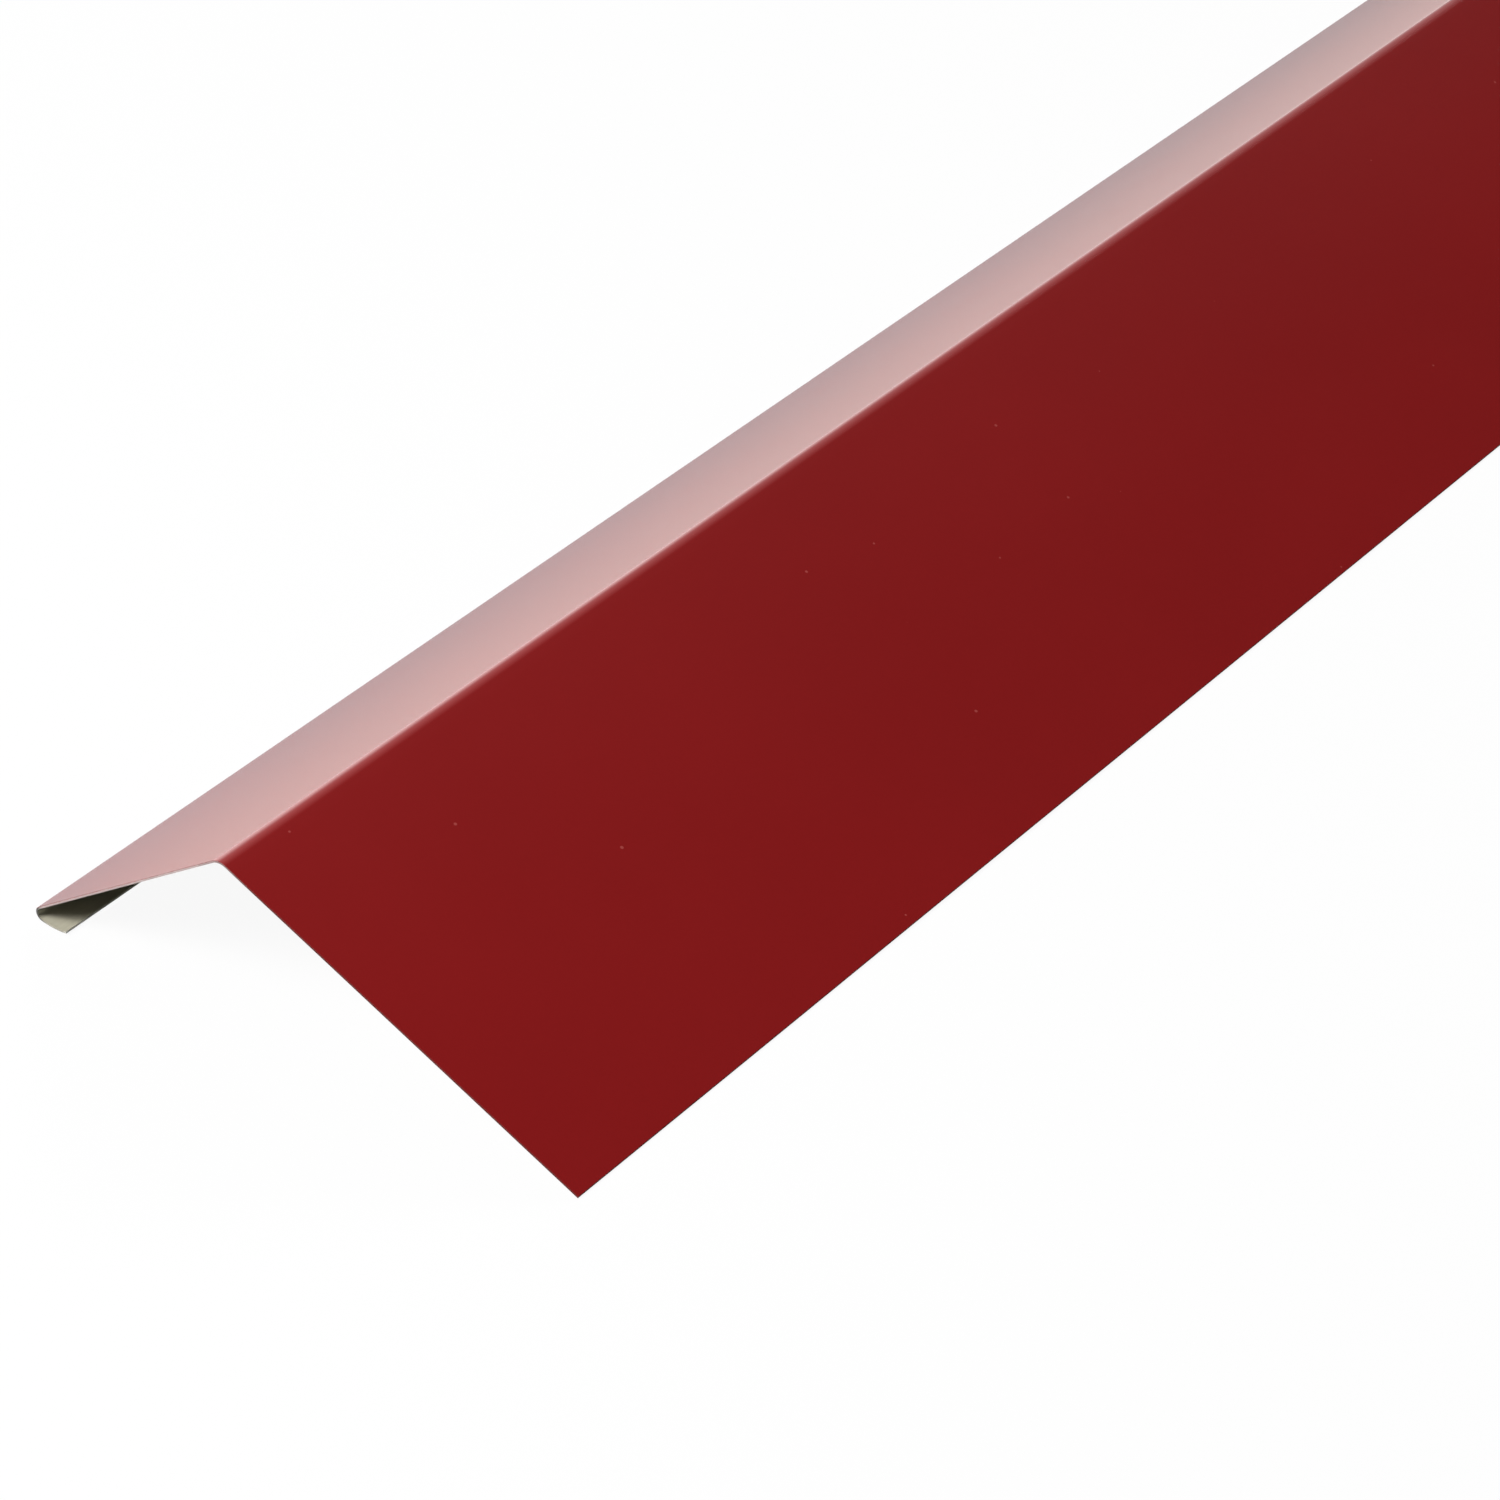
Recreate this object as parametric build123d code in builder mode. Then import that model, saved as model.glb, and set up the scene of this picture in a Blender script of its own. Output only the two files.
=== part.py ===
# Eaves flashing: one strip of coated steel sheet, folded along its length and sold in straight lengths.
# The wide flange lies on the roof deck, the narrow flange hangs over the fascia, and the drip lip is folded
# back under the narrow flange's lower edge to throw water clear.
# It stands on a level floor as a tent, ridge upwards: X runs along the length, the wide flange faces -Y,
# and the origin is under the middle of the piece, on the floor.
from build123d import *
import os
from math import asin, atan2, degrees, radians, tan

# Driving dimensions, in millimetres and degrees. Flanges are measured over the outside of their bends.
stock_length = 2000
sheet_thickness = 0.5
wide_flange = 100
narrow_flange = 69
drip_lip = 9
ridge_angle = 122  # between the two flanges
lip_angle = 34  # between the narrow flange and the lip under it
ridge_inner_radius = 3.5
lip_inner_radius = 1.4
lip_bow_radius = 20  # the fold leaves the lip slightly bowed, with its belly on the floor

# What follows from them
ridge_radius = ridge_inner_radius + sheet_thickness
lip_radius = lip_inner_radius + sheet_thickness
ridge_turn = 180 - ridge_angle
ridge_setback = ridge_radius * tan(radians(ridge_turn / 2))  # sharp corner to the start of the bend
narrow_flat = narrow_flange - ridge_setback - lip_radius
lip_turn = degrees((drip_lip - lip_radius) / lip_bow_radius)  # turned along the bowed lip itself
fold_turn = 180 - lip_angle - lip_turn / 2

# Outer, painted face of the section, with the ridge's sharp corner at the origin and the wide flange level
with BuildLine() as painted_face:
    wide = Line((-wide_flange, 0), (-ridge_setback, 0))
    ridge = JernArc(wide @ 1, wide % 1, ridge_radius, -ridge_turn)
    narrow = PolarLine(ridge @ 1, narrow_flat, direction=ridge % 1)
    fold = JernArc(narrow @ 1, narrow % 1, lip_radius, -fold_turn)
    lip = JernArc(fold @ 1, fold % 1, lip_bow_radius, -lip_turn)

# The floor touches the wide flange's lower corner and the belly of the bowed lip
free_corner = Vector(-wide_flange, -sheet_thickness)
to_bow = lip.arc_center - free_corner
floor_slope = degrees(atan2(to_bow.Y, to_bow.X) - asin(lip_bow_radius / to_bow.length))


def stood(point):
    """The point of the level section, turned so that the floor is level."""
    return point.rotate(Axis.Z, -floor_slope)


section_front = stood(wide @ 0).X
section_back = stood(fold.arc_center).X + lip_radius
section_plane = Plane(
    origin=(-stock_length / 2, -(section_front + section_back) / 2, -stood(free_corner).Y),
    x_dir=(0, stood(Vector(1, 0)).X, stood(Vector(1, 0)).Y),
    z_dir=(1, 0, 0),
)

# The sheet is the painted face thickened inwards, the same section along the whole length
with BuildPart() as eaves_flashing:
    with BuildSketch(section_plane):
        with BuildLine():
            add(painted_face.line)
            offset(amount=sheet_thickness, side=Side.RIGHT)
        make_face()
    extrude(amount=stock_length)

eaves_flashing.part.label = "eaves_flashing"

os.makedirs("parts", exist_ok=True)
export_step(eaves_flashing.part, "parts/eaves_flashing.step")
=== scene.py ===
# Eaves flashing: a two metre strip of red coated steel, folded at the ridge and again at the drip lip,
# stood as a tent on a pale studio floor. Metres throughout, Z up, the strip's length along X.
from math import cos, pi, radians, sin, tan

import bpy
import numpy as np
from mathutils import Matrix, Vector


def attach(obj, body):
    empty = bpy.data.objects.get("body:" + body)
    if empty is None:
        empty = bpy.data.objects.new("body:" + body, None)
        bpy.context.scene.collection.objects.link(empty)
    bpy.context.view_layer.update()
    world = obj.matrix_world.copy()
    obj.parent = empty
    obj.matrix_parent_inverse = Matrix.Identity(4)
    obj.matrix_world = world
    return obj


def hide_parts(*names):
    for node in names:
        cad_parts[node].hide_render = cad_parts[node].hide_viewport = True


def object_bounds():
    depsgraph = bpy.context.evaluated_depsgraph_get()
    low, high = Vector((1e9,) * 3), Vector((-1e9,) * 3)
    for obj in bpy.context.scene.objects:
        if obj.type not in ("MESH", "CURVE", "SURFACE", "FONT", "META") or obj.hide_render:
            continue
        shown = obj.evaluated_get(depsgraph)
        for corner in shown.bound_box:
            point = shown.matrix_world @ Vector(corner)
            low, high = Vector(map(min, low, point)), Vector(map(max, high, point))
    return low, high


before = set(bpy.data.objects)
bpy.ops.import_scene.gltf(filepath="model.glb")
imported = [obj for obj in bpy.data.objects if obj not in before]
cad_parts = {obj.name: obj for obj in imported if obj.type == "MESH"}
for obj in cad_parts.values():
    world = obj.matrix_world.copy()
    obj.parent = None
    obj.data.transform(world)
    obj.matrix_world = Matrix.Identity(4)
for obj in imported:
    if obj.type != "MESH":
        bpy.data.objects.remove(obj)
cadLow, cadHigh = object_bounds()
mm = 0.001
boxSides = [round(side / mm, 2) for side in cadHigh - cadLow]
print("frame loaded,", len(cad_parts), "node, box in mm:", boxSides)

# Camera, worked out from the straight edges of the strip
photoCamera = {
    "place": (-1.53542, -0.55165, 0.61632),
    "azimuth": -51.061,  # degrees, 0 looks along +Y
    "elevation": 35.454,
    "roll": 1.250,
    "focalPixels": 4855.1,  # in the square frame, framePixels wide
    "framePixels": 1500,
    "sensorWidth": 36,
    "seesFrom": 0.05,
    "seesTo": 100,
}


# The camera looks down its own -Z. Back = (sin a cos e, -cos a cos e, sin e) points away from what it sees,
# and right and up, square to it, are turned in the picture's plane by the roll.
def addCamera(c):
    a, e, r = radians(c["azimuth"]), radians(c["elevation"]), radians(c["roll"])
    back = Vector((sin(a) * cos(e), -cos(a) * cos(e), sin(e)))
    right = Vector((cos(a), sin(a), 0))
    up = back.cross(right)
    axes = Matrix((cos(r) * right - sin(r) * up, cos(r) * up + sin(r) * right, back)).transposed()
    data = bpy.data.cameras.new("photoCamera")
    data.sensor_fit = "HORIZONTAL"
    data.sensor_width = c["sensorWidth"]
    data.lens = c["focalPixels"] / c["framePixels"] * c["sensorWidth"]
    data.clip_start = c["seesFrom"]
    data.clip_end = c["seesTo"]
    camera = bpy.data.objects.new("photoCamera", data)
    camera.matrix_world = Matrix.Translation(c["place"]) @ axes.to_4x4()
    bpy.context.scene.collection.objects.link(camera)
    bpy.context.scene.camera = camera


addCamera(photoCamera)
print("camera placed")

# The folded sheet. Flanges are measured over the outside of their bends, as on the drawing.
flashing = {
    "length": cadHigh.x - cadLow.x,
    "thickness": 0.5 * mm,
    "wideFlange": 100 * mm,
    "narrowFlange": 69 * mm,
    "dripLip": 9 * mm,
    "ridgeAngle": radians(122),
    "lipAngle": radians(34),
    "ridgeInnerRadius": 3.5 * mm,
    "lipInnerRadius": 1.4 * mm,
    "lipBowRadius": 20 * mm,
    "rollOver": 0.09 * mm,  # radius that the shears pull round on the painted side
    "rollOverSteps": (0, 0.08, 0.3, 0.62, 1.0, 1.4),  # stations in from a cut edge, in roll-over radii
    "edgeWave": 0.14 * mm,  # how far the wide flange's free edge strays from straight
    "edgeSwells": ((0.43, 0.6, 0.6), (0.171, 2.1, 0.4)),  # length, phase and share of each swell
    "panelWave": 0.05 * mm,  # how far the flat flanges stray
    "panelSwells": ((0.61, 1.2, 0.6), (0.263, 0.4, 0.4)),
    "runSteps": (34, 20, 26, 26, 8),  # wide flange, ridge, narrow flange, fold, lip
    "lengthSteps": 130,
    "creaseAngle": radians(50),  # edges that turn further are shaded sharp
}


# The stations in middle that stand three roll-over radii clear of both ends, with more crowded into the
# rolled-over strip inside each end and one just past it
def borderSteps(middle, f, start, end):
    near = f["rollOver"] * np.array(f["rollOverSteps"])
    clear = 3 * f["rollOver"]
    inner = middle[(middle > start + clear) & (middle < end - clear)]
    return np.concatenate([start + near, inner, end - near[::-1]])


# The sum over the swells of share times sin(2 pi x / length + phase)
def swell(x, swells):
    return sum(share * np.sin(2 * pi * x / length + phase) for length, phase, share in swells)


# Middle of the sheet in the section: the heading is constant on flats and turns evenly in bends, and each
# step goes forward along its mean heading by its chord, its length times sin(h) / h with h half its turn
def sectionLine(stations, runEnds, turns):
    heading = np.interp(stations, runEnds, np.concatenate([[0], np.cumsum(turns)]))
    turn = np.diff(heading)
    chord = np.diff(stations) * np.sinc(turn / (2 * pi))
    mean = heading[:-1] + turn / 2
    y = np.concatenate([[0], np.cumsum(chord * np.cos(mean))])
    z = np.concatenate([[0], np.cumsum(chord * np.sin(mean))])
    return y, z, heading


# The points turned about the origin by the angle
def turned(y, z, angle):
    return y * cos(angle) - z * sin(angle), y * sin(angle) + z * cos(angle)


# Two skins half a thickness either side of the middle surface M(s, x) along its normal N(s): M is the
# section line carried along X, and swells w(s, x) push it along N. At a distance d from a cut edge, within
# the roll-over's radius r, the painted skin sinks by r - sqrt(r^2 - (r - d)^2).
def flashingSurface(f):
    t = f["thickness"]
    ridgeOuter, lipOuter = f["ridgeInnerRadius"] + t, f["lipInnerRadius"] + t
    ridgeTurn = pi - f["ridgeAngle"]
    bowTurn = (f["dripLip"] - lipOuter) / f["lipBowRadius"]
    foldTurn = pi - f["lipAngle"] - bowTurn / 2
    setback = ridgeOuter * tan(ridgeTurn / 2)
    runs = np.array([
        f["wideFlange"] - setback,
        (ridgeOuter - t / 2) * ridgeTurn,
        f["narrowFlange"] - setback - lipOuter,
        (lipOuter - t / 2) * foldTurn,
        (f["lipBowRadius"] - t / 2) * bowTurn,
    ])
    turns = np.array([0, -ridgeTurn, 0, -foldTurn, -bowTurn])
    runEnds = np.concatenate([[0], np.cumsum(runs)])
    pieces = [np.linspace(a, b, n, endpoint=False) for a, b, n in zip(runEnds, runEnds[1:], f["runSteps"])]
    s = borderSteps(np.concatenate(pieces), f, 0, runEnds[-1])
    half = f["length"] / 2
    x = borderSteps(np.linspace(-half, half, f["lengthSteps"] + 1), f, -half, half)

    # Stand it up: the floor meets the back of the free edge and the lowest of the fold and the lip
    y, z, heading = sectionLine(s, runEnds, turns)
    outY, outZ = y - t / 2 * np.sin(heading), z + t / 2 * np.cos(heading)
    hem = s >= runEnds[3]
    floorSlope = np.arctan2(outZ[hem] + t / 2, outY[hem]).min()
    y, z = turned(y, z, -floorSlope)
    heading = heading - floorSlope
    ny, nz = -np.sin(heading), np.cos(heading)
    edgeGap = np.minimum(np.minimum(s, s[-1] - s)[:, None], (half - np.abs(x))[None, :])

    # Swells: none in the bends, most at the wide flange's free edge
    free = np.clip(1 - s / runs[0], 0, 1)
    flat = np.sin(pi * np.clip(s / runs[0], 0, 1)) + np.sin(pi * np.clip((s - runEnds[2]) / runs[2], 0, 1))
    wave = (
        f["edgeWave"] * (free**2)[:, None] * swell(x, f["edgeSwells"])[None, :]
        + f["panelWave"] * flat[:, None] * swell(x, f["panelSwells"])[None, :]
    )

    inside = np.clip(f["rollOver"] - edgeGap, 0, f["rollOver"])
    sink = f["rollOver"] - np.sqrt(f["rollOver"] ** 2 - inside**2)
    xs = np.broadcast_to(x[None, :], edgeGap.shape)
    skins = []
    for lift in (t / 2 - sink + wave, -t / 2 + wave):
        skins.append(np.stack([xs, y[:, None] + lift * ny[:, None], z[:, None] + lift * nz[:, None]], -1))
    painted, backed = skins

    # Centred on the CAD's box, with the back of the free edge on the floor
    middleY = (cadLow.y + cadHigh.y - painted[..., 1].min() - painted[..., 1].max()) / 2
    shift = np.array([0, middleY, -backed[0, :, 2].min()])
    return painted + shift, backed + shift, s, x


# Quads of a rows by columns grid of vertices, numbered row by row
def gridFaces(rows, columns):
    corner = np.arange(rows - 1)[:, None] * columns + np.arange(columns - 1)[None, :]
    quads = np.stack([corner, corner + 1, corner + columns + 1, corner + columns], -1)
    return quads.reshape(-1, 4)


# Quads between two equally long rows of vertex numbers
def strip(a, b):
    return np.stack([a[:-1], a[1:], b[1:], b[:-1]], -1)


# One closed mesh: the painted skin, the back coat's skin, and the four cut edges between them
def addFlashing(f):
    painted, backed, s, x = flashingSurface(f)
    rows, columns = len(s), len(x)
    count = rows * columns
    top = np.arange(count).reshape(rows, columns)
    under = top + count
    skinFaces = gridFaces(rows, columns)
    edges = [
        strip(top[0, ::-1], under[0, ::-1]),
        strip(top[-1, :], under[-1, :]),
        strip(top[:, 0], under[:, 0]),
        strip(top[::-1, -1], under[::-1, -1]),
    ]
    faces = np.concatenate([skinFaces, skinFaces[:, ::-1] + count, *edges])
    finish = np.repeat([0, 1, 2], [len(skinFaces), len(skinFaces), len(faces) - 2 * len(skinFaces)])

    mesh = bpy.data.meshes.new("foldedSheet")
    points = np.concatenate([painted.reshape(-1, 3), backed.reshape(-1, 3)])
    mesh.from_pydata(points.tolist(), [], faces.tolist())
    mesh.polygons.foreach_set("material_index", finish.astype(np.int32))
    mesh.polygons.foreach_set("use_smooth", np.ones(len(faces), bool))

    # Place on the flat strip before folding, in metres, for patterns that follow the sheet
    flatPlace = np.stack(np.meshgrid(s, x, indexing="ij"), -1).reshape(-1, 2)
    flatPlace = np.concatenate([flatPlace, flatPlace])
    corners = np.empty(len(mesh.loops), np.int32)
    mesh.loops.foreach_get("vertex_index", corners)
    mesh.uv_layers.new(name="flatPlace").data.foreach_set("uv", flatPlace[corners].ravel())
    mesh.set_sharp_from_angle(angle=f["creaseAngle"])
    mesh.update()
    piece = bpy.data.objects.new("folded_sheet", mesh)
    bpy.context.scene.collection.objects.link(piece)
    print("folded sheet:", len(points), "points,", len(faces), "faces")
    return piece, s[-1]


sheet, girth = addFlashing(flashing)


# A material with an empty tree
def newMaterial(name):
    material = bpy.data.materials.new(name)
    material.use_nodes = True
    material.node_tree.nodes.clear()
    return material, material.node_tree


# Adds a node, sets its properties and its sockets by name, and links (from socket, to name) pairs
def put(tree, kind, links=(), **values):
    made = tree.nodes.new(kind)
    for name, value in values.items():
        if name in made.bl_rna.properties:
            setattr(made, name, value)
        else:
            made.inputs[name.replace("_", " ")].default_value = value
    for source, name in links:
        tree.links.new(source, made.inputs[name])
    return made


# Noise on a place, with so many cells a metre
def noise(tree, place, scale, detail=2.0, roughness=0.5):
    links = [(place, "Vector")]
    made = put(tree, "ShaderNodeTexNoise", links, Scale=scale, Detail=detail, Roughness=roughness)
    return made.outputs["Fac"]


# A value between low and high, brought between toLow and toHigh
def remap(tree, value, low, high, toLow=0.0, toHigh=1.0):
    links = [(value, "Value")]
    made = put(tree, "ShaderNodeMapRange", links, From_Min=low, From_Max=high, To_Min=toLow, To_Max=toHigh)
    return made.outputs["Result"]


noiseRange = (0.3, 0.7)  # nearly all of a noise lies in it


# A noise brought between middle - reach and middle + reach
def spread(tree, value, middle, reach):
    return remap(tree, value, *noiseRange, middle - reach, middle + reach)


# Arithmetic on values, each a socket or a number
def arith(tree, operation, *terms):
    made = put(tree, "ShaderNodeMath", operation=operation)
    for slot, term in zip(made.inputs, terms):
        if isinstance(term, (int, float)):
            slot.default_value = term
        else:
            tree.links.new(term, slot)
    return made.outputs[0]


# Colour a to colour b by amount, each a socket or a colour
def blend(tree, amount, a, b):
    made = put(tree, "ShaderNodeMix", data_type="RGBA")
    tree.links.new(amount, made.inputs[0])
    for slot, value in zip([slot for slot in made.inputs if slot.type == "RGBA"], (a, b)):
        if isinstance(value, tuple):
            slot.default_value = (*value, 1)
        else:
            tree.links.new(value, slot)
    return next(out for out in made.outputs if out.type == "RGBA")


# A place scaled by axis
def stretched(tree, place, scale):
    made = put(tree, "ShaderNodeMapping", [(place, "Vector")])
    made.inputs["Scale"].default_value = scale
    return made.outputs["Vector"]


# The sum of two straight ramps of a value, each held at 0 before its start and at its level after its end
def ramps(tree, value, pieces):
    return arith(tree, "ADD", *(remap(tree, value, start, end, 0, level) for start, end, level in pieces))


# 1 on round specks, 0 elsewhere: a share of the flat cells, of which scale go to a metre, holds one speck
# each, with a radius of up to size times a cell
def specks(tree, flat, scale, share, size):
    cells = put(tree, "ShaderNodeTexVoronoi", [(flat, "Vector")], voronoi_dimensions="2D", Scale=scale)
    tint = put(tree, "ShaderNodeSeparateColor", [(cells.outputs["Color"], "Color")]).outputs
    inside = arith(tree, "LESS_THAN", cells.outputs["Distance"], arith(tree, "MULTIPLY", tint[1], size))
    return arith(tree, "MULTIPLY", inside, arith(tree, "LESS_THAN", tint[0], share))


# Principled shader on a material's output, with links and values
def surface(tree, links, **values):
    shader = put(tree, "ShaderNodeBsdfPrincipled", links, **values)
    put(tree, "ShaderNodeOutputMaterial", [(shader.outputs[0], "Surface")])


# Cells are counted by the metre, and a range is the part of a noise that a blend is stretched over
redPaint = {
    "colour": (0.224, 0.0072, 0.0076),
    "deeper": (0.214, 0.0068, 0.0072),
    "mottleCells": 14,
    "mottleRange": (0.35, 0.65),
    "dust": (0.33, 0.050, 0.046),
    "dustCells": 42,
    "dustShare": 0.3,  # of the cells that hold a speck
    "dustSize": 0.016,  # largest radius of a speck, in cells
    "crushed": (0.13, 0.012, 0.011),
    "crushedReach": 0.12 * mm,  # how far in from a cut edge the shears hurt the coat
    "crushedLeast": 0.2,  # share of that reach where it goes in least
    "crushedCells": 900,
    "roughness": 0.13,
    "roughSpread": 0.015,
    "roughCells": 60,
    "peelHeight": 0.0012 * mm,
    "peelCells": 420,
    "finePeel": 0.1,  # height of the finer peel beside the other
    "finePeelCells": 2600,
    "ior": 1.58,
}


# Glossy polyester coat: slow mottling, orange peel, dust, and a hurt rim. The gap to the cut edge is the
# least of s, girth - s and half the length - |x|, with s and x read from the flat strip.
def paintMaterial(p, f):
    material, tree = newMaterial("redPolyesterCoat")
    coords = tree.nodes.new("ShaderNodeTexCoord").outputs
    place = coords["Object"]
    flat = put(tree, "ShaderNodeSeparateXYZ", [(coords["UV"], "Vector")]).outputs
    across = arith(tree, "MINIMUM", flat[0], arith(tree, "SUBTRACT", girth, flat[0]))
    along = arith(tree, "SUBTRACT", f["length"] / 2, arith(tree, "ABSOLUTE", flat[1]))
    gap = arith(tree, "MINIMUM", across, along)

    mottle = remap(tree, noise(tree, place, p["mottleCells"], detail=3), *p["mottleRange"])
    colour = blend(tree, mottle, p["colour"], p["deeper"])
    dust = specks(tree, coords["UV"], p["dustCells"], p["dustShare"], p["dustSize"])
    colour = blend(tree, dust, colour, p["dust"])

    least = p["crushedLeast"] * p["crushedReach"]
    ragged = noise(tree, place, p["crushedCells"], detail=3)
    crushed = arith(tree, "LESS_THAN", gap, remap(tree, ragged, *noiseRange, least, p["crushedReach"]))
    colour = blend(tree, crushed, colour, p["crushed"])

    fine = arith(tree, "MULTIPLY", noise(tree, place, p["finePeelCells"], detail=1), p["finePeel"])
    peel = arith(tree, "ADD", noise(tree, place, p["peelCells"], detail=1.5), fine)
    bump = put(tree, "ShaderNodeBump", [(peel, "Height")], Strength=1.0, Distance=p["peelHeight"])
    rough = spread(tree, noise(tree, place, p["roughCells"], detail=4), p["roughness"], p["roughSpread"])
    links = [(colour, "Base Color"), (rough, "Roughness"), (bump.outputs["Normal"], "Normal")]
    surface(tree, links, IOR=p["ior"])
    return material


backCoat = {
    "colour": (0.352, 0.334, 0.262),
    "darker": (0.318, 0.300, 0.232),
    "streakCells": (900, 6, 1),  # across the strip, along it
    "cloudCells": 40,
    "cloudRange": (0.75, 1.25),  # of streaks and clouds added up
    "roughness": 0.42,
    "roughSpread": 0.05,
    "grainHeight": 0.003 * mm,
    "grainCells": 1500,
    "ior": 1.5,
}


# Thin grey-green lacquer, with faint streaks from rolling along the strip
def backCoatMaterial(b):
    material, tree = newMaterial("greyGreenBackCoat")
    coords = tree.nodes.new("ShaderNodeTexCoord").outputs
    place = coords["Object"]
    streaks = noise(tree, stretched(tree, coords["UV"], b["streakCells"]), 1, detail=3)
    clouds = arith(tree, "ADD", streaks, noise(tree, place, b["cloudCells"], detail=4))
    colour = blend(tree, remap(tree, clouds, *b["cloudRange"]), b["colour"], b["darker"])
    rough = spread(tree, streaks, b["roughness"], b["roughSpread"])
    grain = noise(tree, place, b["grainCells"], detail=2)
    bump = put(tree, "ShaderNodeBump", [(grain, "Height")], Strength=1.0, Distance=b["grainHeight"])
    links = [(colour, "Base Color"), (rough, "Roughness"), (bump.outputs["Normal"], "Normal")]
    surface(tree, links, IOR=b["ior"])
    return material


cutSteel = {
    # Tone by place across the flat strip, from the wide flange's free edge, with painted shade round the
    # fold and painted light on the lip's own edge
    "tones": (
        (90 * mm, (0.100, 0.012, 0.010)),  # torn, and smeared with paint
        (108 * mm, (0.375, 0.295, 0.285)),  # burnished on the narrow flange, with a bloom of paint
        (165 * mm, (0.375, 0.295, 0.285)),
        (167 * mm, (0.085, 0.082, 0.075)),  # painted shade round the fold, where its inside shades the cut
        (169.5 * mm, (0.085, 0.082, 0.075)),
        (172 * mm, (0.370, 0.350, 0.290)),  # burnished on the lip
        (177.1 * mm, (0.370, 0.350, 0.290)),
        (177.3 * mm, (0.780, 0.760, 0.690)),  # painted light: the lip's own edge faces into shade and is made pale as if lit
    ),
    "patchiness": 0.25,  # how much darker the worst patches are
    "patchCells": 160,
    "patchRange": (0.8, 1.2),  # of scores and patches added up
    "scoreCells": (4200, 4200, 500),
    "scoreHeight": 0.01 * mm,
    "roughness": 0.5,
    "ior": 1.3,
}


# Sheared steel edge: a tone that changes across the strip, with painted shade round the fold and painted
# light on the lip's own edge, short scores through the thickness, and darker patches
def cutSteelMaterial(c):
    material, tree = newMaterial("shearedSteel")
    coords = tree.nodes.new("ShaderNodeTexCoord").outputs
    place = coords["Object"]
    across = put(tree, "ShaderNodeSeparateXYZ", [(coords["UV"], "Vector")]).outputs[0]
    tone = put(tree, "ShaderNodeValToRGB", [(remap(tree, across, 0, girth), "Fac")])
    stops = tone.color_ramp.elements
    for spot, colour in c["tones"]:
        stops.new(spot / girth).color = (*colour, 1)
    stops.remove(stops[0])
    stops.remove(stops[-1])
    scores = noise(tree, stretched(tree, place, c["scoreCells"]), 1, detail=3)
    patches = arith(tree, "ADD", scores, noise(tree, place, c["patchCells"], detail=3))
    darkening = remap(tree, patches, *c["patchRange"], 0, c["patchiness"])
    colour = blend(tree, darkening, tone.outputs["Color"], (0, 0, 0))
    bump = put(tree, "ShaderNodeBump", [(scores, "Height")], Strength=1.0, Distance=c["scoreHeight"])
    links = [(colour, "Base Color"), (bump.outputs["Normal"], "Normal")]
    surface(tree, links, Roughness=c["roughness"], IOR=c["ior"])
    return material


for finish in (paintMaterial(redPaint, flashing), backCoatMaterial(backCoat), cutSteelMaterial(cutSteel)):
    sheet.data.materials.append(finish)
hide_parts("eaves_flashing")
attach(sheet, "root")
print("finishes done")

# Studio: a pale floor, a soft key from beyond the near end, a second one over the far half, and
# surroundings that are bright behind the strip and dark in front and above
studio = {
    "floorHalf": 40,
    # The floor's own level to the camera, by distance: near the strip and, past the lamps' reach, far off
    "floorGlow": ((1.2, 0.93), (5.0, 1.0)),
    "floorShade": 0.045,  # share of the lamps' light that the camera sees, so that shadows stay
    # The same share in reflections, by place towards +Y: cool close to the strip as a painted shade of the
    # strip, then warm
    "floorMirrored": ((0.085, (0.435, 0.510, 0.520)), (0.111, (0.538, 0.505, 0.480))),
    # The floor's own level in reflections, painted light that stays off close to the strip as its painted
    # shade: each ramp's start and end towards +Y, and the level it rises to
    "floorSweep": ((0.078, 0.114, 0.19), (0.112, 0.32, 1.20)),
    "floorBounce": 0.45,  # share of the light that it throws back up
    "skyLight": 0.10,  # even light on the strip from all round
    # The surroundings' level in reflections: a base, and such ramps by the direction's part towards +Y
    "frontLevel": 0.05,
    "backdrop": ((-0.09, 0.65, 0.87), (0.60, 0.79, 1.50)),
}


# Two switches, 1 for camera rays and 1 for mirror and glass rays; both are 0 for rays that light the strip
def seenBy(tree):
    rays = tree.nodes.new("ShaderNodeLightPath").outputs
    mirrored = arith(tree, "MAXIMUM", rays["Is Glossy Ray"], rays["Is Transmission Ray"])
    return rays["Is Camera Ray"], mirrored


# A flat square that belongs to the studio
def stageSquare(name, h, material):
    mesh = bpy.data.meshes.new(name)
    mesh.from_pydata([(-h, -h, 0), (h, -h, 0), (h, h, 0), (-h, h, 0)], [], [(0, 1, 2, 3)])
    mesh.materials.append(material)
    square = bpy.data.objects.new(name, mesh)
    bpy.context.scene.collection.objects.link(square)
    return square


# Shaders a and b added up on a material's output
def addedUp(tree, a, b):
    both = put(tree, "ShaderNodeAddShader")
    tree.links.new(a.outputs[0], both.inputs[0])
    tree.links.new(b.outputs[0], both.inputs[1])
    put(tree, "ShaderNodeOutputMaterial", [(both.outputs[0], "Surface")])
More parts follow.
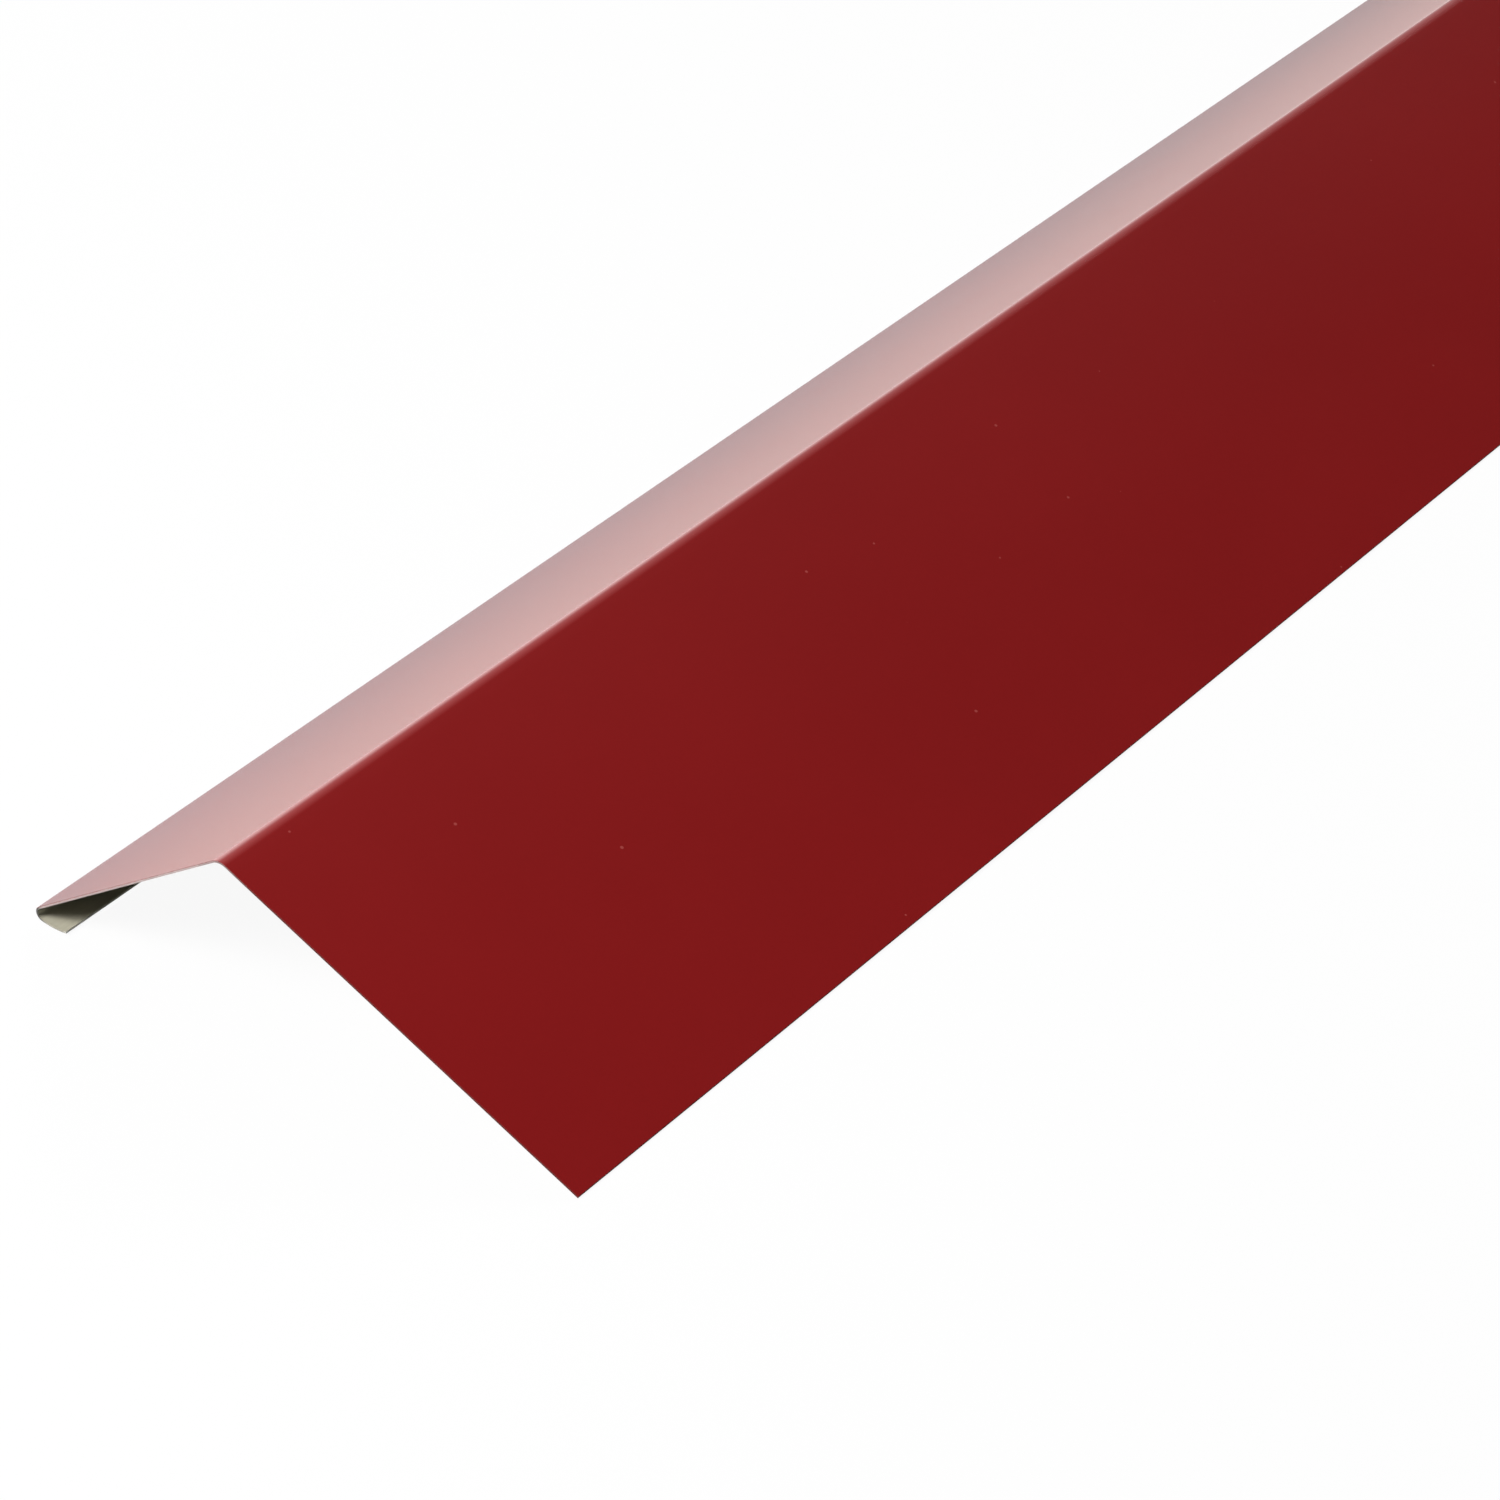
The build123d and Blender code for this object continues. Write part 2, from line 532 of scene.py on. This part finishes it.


# A flat floor under the strip: to the camera it glows and adds a small share of the light that falls on it.
# In reflections it adds a larger share and glows only towards the backdrop; the share's cool tint and the
# missing glow close to the strip are painted shade of the strip.
def addFloor(s):
    material, tree = newMaterial("paleFloor")
    camera, mirrored = seenBy(tree)
    place = tree.nodes.new("ShaderNodeTexCoord").outputs["Object"]
    towardsBack = put(tree, "ShaderNodeSeparateXYZ", [(place, "Vector")]).outputs["Y"]
    (coolPlace, cool), (warmPlace, warm) = s["floorMirrored"]
    share = blend(tree, remap(tree, towardsBack, coolPlace, warmPlace), cool, warm)
    share = blend(tree, mirrored, (s["floorBounce"],) * 3, share)
    share = blend(tree, camera, share, (s["floorShade"],) * 3)
    diffuse = put(tree, "ShaderNodeBsdfDiffuse", [(share, "Color")])
    sweep = arith(tree, "MULTIPLY", mirrored, ramps(tree, towardsBack, s["floorSweep"]))
    away = put(tree, "ShaderNodeVectorMath", [(place, "Vector")], operation="LENGTH").outputs["Value"]
    (near, nearLevel), (far, farLevel) = s["floorGlow"]
    seen = arith(tree, "MULTIPLY", camera, remap(tree, away, near, far, nearLevel, farLevel))
    level = arith(tree, "ADD", seen, sweep)
    addedUp(tree, diffuse, put(tree, "ShaderNodeEmission", [(level, "Strength")]))
    stageSquare("studio_floor", s["floorHalf"], material)


# World: white to the camera, an even level for light on the strip, and for reflections the front's level
# plus the backdrop's ramps
def addSky(s):
    world = bpy.data.worlds.new("studioSky")
    world.use_nodes = True
    tree = world.node_tree
    tree.nodes.clear()
    camera, mirrored = seenBy(tree)
    direction = tree.nodes.new("ShaderNodeTexCoord").outputs["Generated"]
    towardsBack = put(tree, "ShaderNodeSeparateXYZ", [(direction, "Vector")]).outputs["Y"]
    around = arith(tree, "ADD", ramps(tree, towardsBack, s["backdrop"]), s["frontLevel"])
    level = put(tree, "ShaderNodeMix", [(mirrored, "Factor"), (around, "B")], A=s["skyLight"])
    level = put(tree, "ShaderNodeMix", [(camera, "Factor"), (level.outputs["Result"], "A")], B=1.0)
    sky = put(tree, "ShaderNodeBackground", [(level.outputs["Result"], "Strength")])
    sky.inputs["Color"].default_value = (1, 1, 1, 1)
    put(tree, "ShaderNodeOutputWorld", [(sky.outputs[0], "Surface")])
    bpy.context.scene.world = world


# Each lamp stands a distance from its aim, in the direction towards
keyLamp = {"aim": (-0.82, 0, 0.02), "towards": (-1.03, 0.62, 1), "distance": 2.2, "size": 0.98, "power": 88}
farLamp = {"aim": (0.65, 0, 0.02), "towards": (0.5, 0.4, 1), "distance": 1.5, "size": 0.9, "power": 28}
keyScreen = {"half": 0.70, "core": 0.15, "level": 5.0}  # its glow fades from the core out to half its width


# A square soft box that faces its aim, and doesn't show in reflections
def addSoftBox(name, lamp):
    data = bpy.data.lights.new(name, "AREA")
    data.shape = "SQUARE"
    data.size = lamp["size"]
    data.energy = lamp["power"]
    box = bpy.data.objects.new(name, data)
    towards = Vector(lamp["towards"]).normalized()
    turn = towards.to_track_quat("Z", "Y").to_matrix().to_4x4()
    box.matrix_world = Matrix.Translation(Vector(lamp["aim"]) + towards * lamp["distance"]) @ turn
    box.visible_glossy = False
    bpy.context.scene.collection.objects.link(box)
    return box


# What reflections show in place of a soft box: a screen that fades to its rim, seen by mirror rays alone
def addScreen(box, s):
    material, tree = newMaterial("screenGlow")
    place = tree.nodes.new("ShaderNodeTexCoord").outputs["Object"]
    away = put(tree, "ShaderNodeVectorMath", [(place, "Vector")], operation="LENGTH").outputs["Value"]
    level = remap(tree, away, s["core"], s["half"], s["level"], 0)
    glow = put(tree, "ShaderNodeEmission", [(level, "Strength")])
    addedUp(tree, put(tree, "ShaderNodeBsdfTransparent"), glow)
    screen = stageSquare("key_screen", s["half"], material)
    screen.matrix_world = box.matrix_world
    for rays in ("camera", "diffuse", "transmission", "volume_scatter", "shadow"):
        setattr(screen, "visible_" + rays, False)


addFloor(studio)
addSky(studio)
addScreen(addSoftBox("key_lamp", keyLamp), keyScreen)
addSoftBox("far_lamp", farLamp)
bpy.context.scene.view_settings.view_transform = "Standard"
print("studio done")
